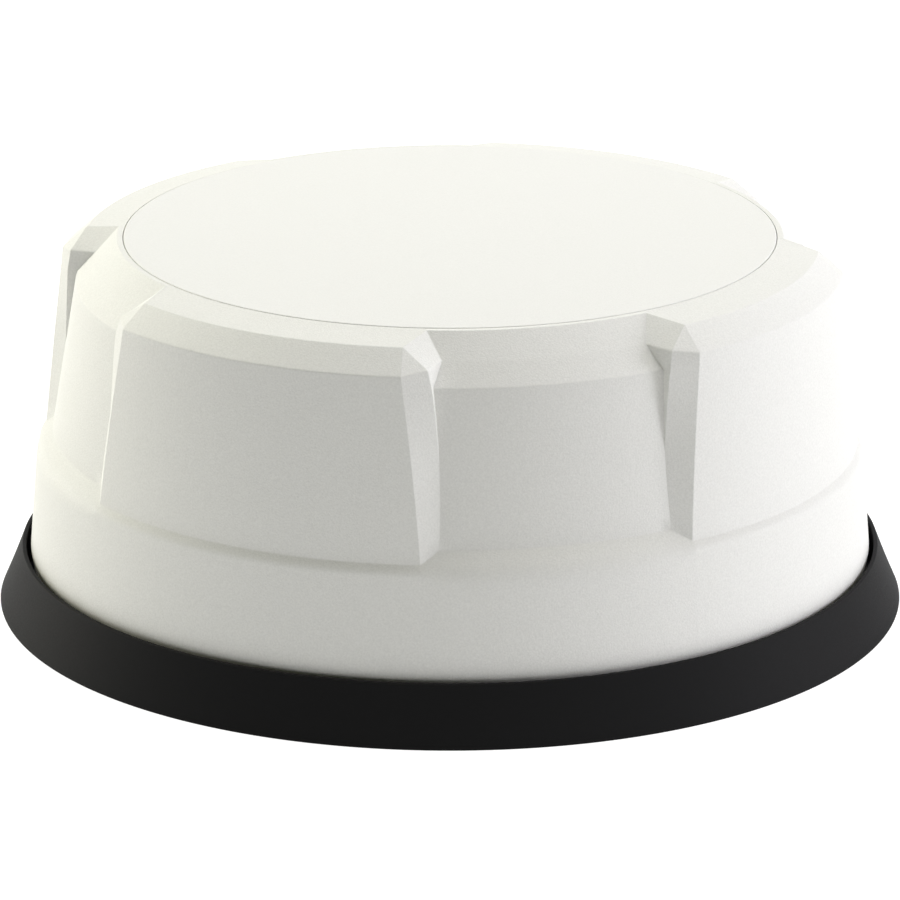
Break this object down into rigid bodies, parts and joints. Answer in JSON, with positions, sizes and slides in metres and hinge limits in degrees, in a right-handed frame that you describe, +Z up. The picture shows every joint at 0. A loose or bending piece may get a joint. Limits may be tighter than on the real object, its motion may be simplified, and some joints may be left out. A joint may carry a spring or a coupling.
{
  "type": "gnss receiver",
  "caption": "Round satellite positioning receiver: white radome with raised lobes, flush cover disc and flared black base ring, with pole thread, connector and service door underneath.",
  "frame": {"origin": "centre of the flat ring that the receiver stands on", "axes": "+Z up along the axis of the radome; the lobes lie on the X and Y axes, the connector at +Y and the service door at -Y"},
  "size_m": [0.186, 0.186, 0.0776],
  "materials": {
    "radome_plastic": "fine spark-eroded grain, satin",
    "disc_plastic": "very fine grain, satin",
    "skirt_plastic": "satin black",
    "cast_aluminium": "as cast and blasted",
    "spun_aluminium": "spun, satin",
    "steel": "stainless",
    "brass": "turned",
    "rubber": "moulded",
    "black_plastic": "moulded",
    "board": "solder resist",
    "ceramic": "fired ceramic",
    "shield": "tin plate",
    "copper": "plated copper"
  },
  "bodies": {
    "root": {"antenna_board": "board", "antenna_coax": "black_plastic", "backup_supercapacitor": "black_plastic", "base_casting": "cast_aluminium", "bluetooth_antenna": "copper", "card_socket": "shield", "cellular_antenna_main": "copper", "cellular_antenna_second": "copper", "connector_insert": "black_plastic", "connector_nut": "steel", "connector_seal": "rubber", "connector_shell": "steel", "door_hinge_pin": "steel", "door_seal": "rubber", "gnss_module_shield": "shield", "ground_plane": "spun_aluminium", "housing_screw_1": "steel", "housing_screw_2": "steel", "housing_screw_3": "steel", "housing_screw_4": "steel", "housing_screw_5": "steel", "housing_screw_6": "steel", "housing_seal": "rubber", "key_gasket": "rubber", "key_switch": "black_plastic", "lna_shield": "shield", "lower_standoff_1": "brass", "lower_standoff_2": "brass", "lower_standoff_3": "brass", "lower_standoff_4": "brass", "main_board": "board", "modem_module": "shield", "motion_sensor_chip": "black_plastic", "patch_electrode": "copper", "patch_lower": "ceramic", "patch_upper": "ceramic", "plane_screw_1": "steel", "plane_screw_2": "steel", "plane_screw_3": "steel", "plane_screw_4": "steel", "pole_insert": "brass", "pressure_vent": "black_plastic", "processor_chip": "black_plastic", "radome": "radome_plastic", "skirt_ring": "skirt_plastic", "top_disc": "disc_plastic", "upper_standoff_1": "brass", "upper_standoff_2": "brass", "upper_standoff_3": "brass", "upper_standoff_4": "brass", "usb_port": "shield", "wifi_antenna": "copper"},
    "service_door": {"service_door": "black_plastic"},
    "power_key": {"power_key": "rubber"},
    "cap_plug": {"cap_plug": "rubber"},
    "cap_ring": {"cap_ring": "black_plastic"}
  },
  "joints": [
    {"name": "service_door_hinge", "type": "hinge", "parent": "root", "child": "service_door", "pos_m": [0, -0.0346, 0.0024], "axis": [1, 0, 0], "range_deg": [0, 95]},
    {"name": "power_key_press", "type": "slide", "parent": "root", "child": "power_key", "axis": [0, 0, 1], "range_m": [0, 0.0008], "stiffness_N_per_m": 1200},
    {"name": "cap_travel", "type": "slide", "parent": "root", "child": "cap_plug", "axis": [0, 0, -1], "range_m": [0, 0.003]},
    {"name": "cap_ring_turn", "type": "hinge", "parent": "cap_plug", "child": "cap_ring", "pos_m": [0, 0.044, 0.0036], "axis": [0, 0, -1], "range_deg": [0, 1080]}
  ],
  "couplings": [
    {"joint": "cap_travel", "follows": "cap_ring_turn", "m_per_rad": 0.00015915}
  ]
}
